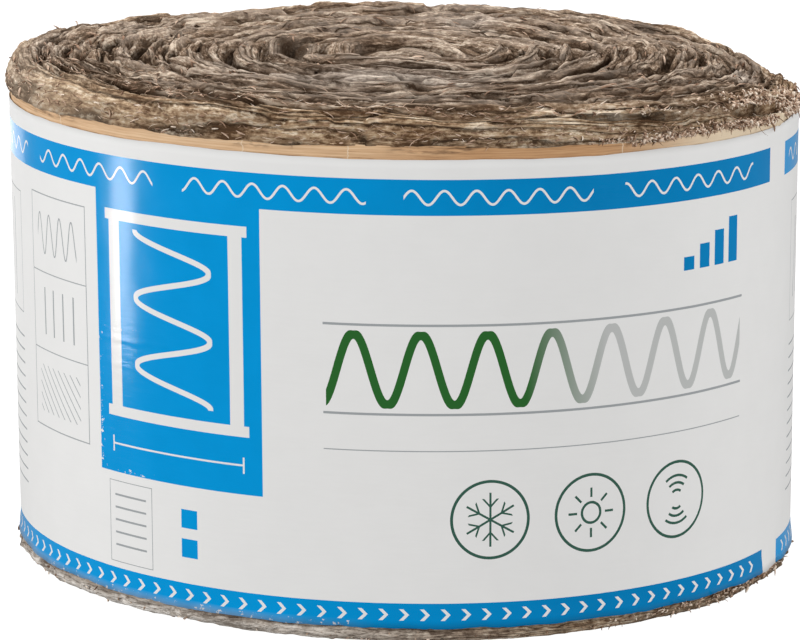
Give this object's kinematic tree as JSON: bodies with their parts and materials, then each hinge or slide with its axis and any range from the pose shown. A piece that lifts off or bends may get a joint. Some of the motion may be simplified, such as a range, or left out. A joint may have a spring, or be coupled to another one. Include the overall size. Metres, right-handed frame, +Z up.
{
  "type": "insulation roll",
  "caption": "Roll of kraft-faced glass wool insulation standing on its end, wound as a spiral around an open eye and held closed by a printed outer wrapper with coloured bands.",
  "frame": {"origin": "on the floor, under the middle of the roll", "axes": "+Z up along the eye; the printed front faces -Y and the wrapper's seam is at +Y"},
  "size_m": [0.61, 0.6103, 0.389],
  "materials": {
    "wool": "brown-grey glass wool, matted and fibrous at the cut ends",
    "kraft": "plain tan kraft paper with a faint grain",
    "wrapper": "white film with a satin gloss and printed blue bands"
  },
  "bodies": {
    "root": {"wool_roll": "wool", "kraft_facing": "kraft", "wrapper": "wrapper"}
  },
  "joints": []
}
